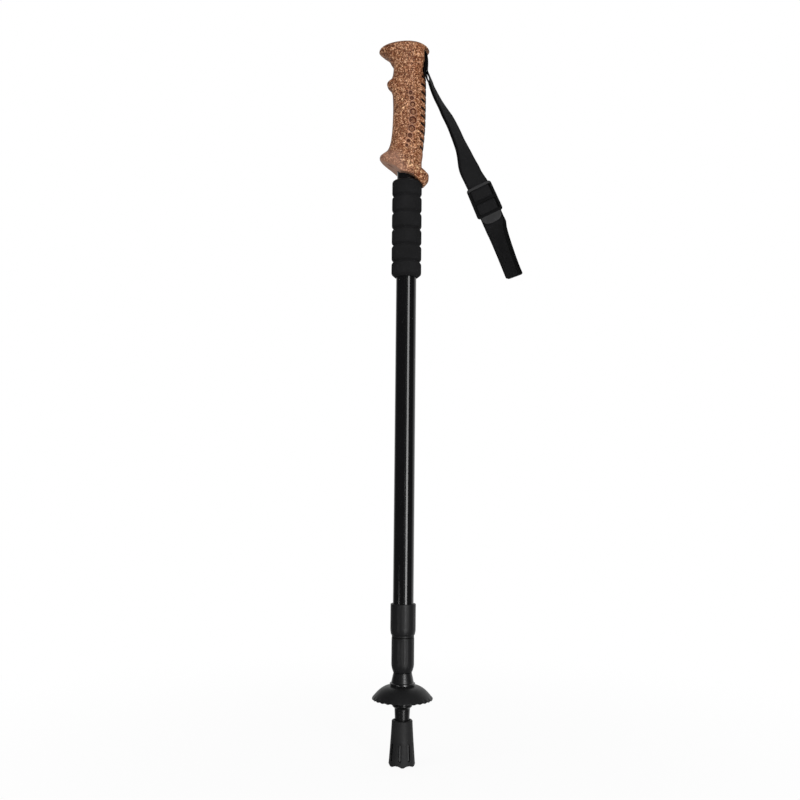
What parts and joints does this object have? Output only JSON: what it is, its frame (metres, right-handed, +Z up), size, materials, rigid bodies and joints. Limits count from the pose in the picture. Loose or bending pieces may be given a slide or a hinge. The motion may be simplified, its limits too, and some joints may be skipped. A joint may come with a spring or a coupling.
{
  "type": "telescopic walking stick",
  "caption": "Telescopic walking stick with twist locks, a cork grip with a foam extension, a wrist strap, a mud basket and a rubber tip cover.",
  "frame": {"origin": "middle of the rubber tip's flat foot, on the axis of the tubes", "axes": "+Z up along the stick, -X to the front of the grip where the fingers lie, +X to the back of the grip, where the wrist strap leaves it"},
  "size_m": [0.1281, 0.0522, 0.6382],
  "materials": {
    "cork": "pressed cork granulate, matt",
    "foam": "closed-cell foam, matt",
    "gloss_tube": "black anodised or lacquered aluminium tube, glossy",
    "matt_plastic": "moulded, satin",
    "gloss_plastic": "moulded, glossy",
    "buckle_plastic": "moulded, satin",
    "rubber": "moulded rubber, matt",
    "webbing": "woven polyester webbing",
    "steel": "zinc-plated",
    "carbide": "sintered hard metal",
    "nylon": "natural nylon"
  },
  "bodies": {
    "upper_section": {"grip_body": "cork", "strap_pin": "steel", "foam_sleeve": "foam", "upper_tube": "gloss_tube", "upper_collar": "matt_plastic"},
    "strap": {"wrist_strap": "webbing", "strap_buckle": "buckle_plastic"},
    "middle_lock": {"middle_expander": "matt_plastic"},
    "middle_wedge": {"middle_wedge_nut": "nylon"},
    "middle_section": {"middle_tube": "gloss_tube", "middle_collar": "matt_plastic", "middle_tube_plug": "nylon", "middle_lock_screw": "steel", "middle_stop_ring": "steel"},
    "lower_lock": {"lower_expander": "matt_plastic"},
    "lower_wedge": {"lower_wedge_nut": "nylon"},
    "lower_section": {"lower_tube": "gloss_tube", "lower_tube_plug": "nylon", "lower_lock_screw": "steel", "lower_stop_ring": "steel", "tip_holder": "gloss_plastic", "carbide_tip": "carbide"},
    "basket": {"mud_basket": "matt_plastic"},
    "tip_cover": {"rubber_tip": "rubber", "rubber_tip_washer": "steel"}
  },
  "joints": [
    {"name": "middle_slide", "type": "slide", "parent": "upper_section", "child": "middle_lock", "axis": [0, 0, -1], "range_m": [0, 0.35]},
    {"name": "middle_twist", "type": "hinge", "parent": "middle_lock", "child": "middle_section", "pos_m": [0, 0, 0.56], "axis": [0, 0, -1], "range_deg": [0, 540]},
    {"name": "middle_wedge_travel", "type": "slide", "parent": "middle_lock", "child": "middle_wedge", "axis": [0, 0, 1], "range_m": [0, 0.0019]},
    {"name": "lower_slide", "type": "slide", "parent": "middle_section", "child": "lower_lock", "axis": [0, 0, -1], "range_m": [0, 0.35]},
    {"name": "lower_twist", "type": "hinge", "parent": "lower_lock", "child": "lower_section", "pos_m": [0, 0, 0.486], "axis": [0, 0, -1], "range_deg": [0, 540]},
    {"name": "lower_wedge_travel", "type": "slide", "parent": "lower_lock", "child": "lower_wedge", "axis": [0, 0, 1], "range_m": [0, 0.0019]},
    {"name": "basket_turn", "type": "hinge", "parent": "lower_section", "child": "basket", "pos_m": [0, 0, 0.0668], "axis": [0, 0, 1], "range_deg": [0, 1080]},
    {"name": "rubber_tip_pull", "type": "slide", "parent": "lower_section", "child": "tip_cover", "axis": [0, 0, -1], "range_m": [0, 0.04]},
    {"name": "strap_swing", "type": "hinge", "parent": "upper_section", "child": "strap", "pos_m": [0.01, 0, 0.628], "axis": [0, -1, 0], "range_deg": [0, 36]}
  ],
  "couplings": [
    {"joint": "middle_wedge_travel", "follows": "middle_twist", "m_per_rad": 0.00019894},
    {"joint": "lower_wedge_travel", "follows": "lower_twist", "m_per_rad": 0.00019894}
  ]
}
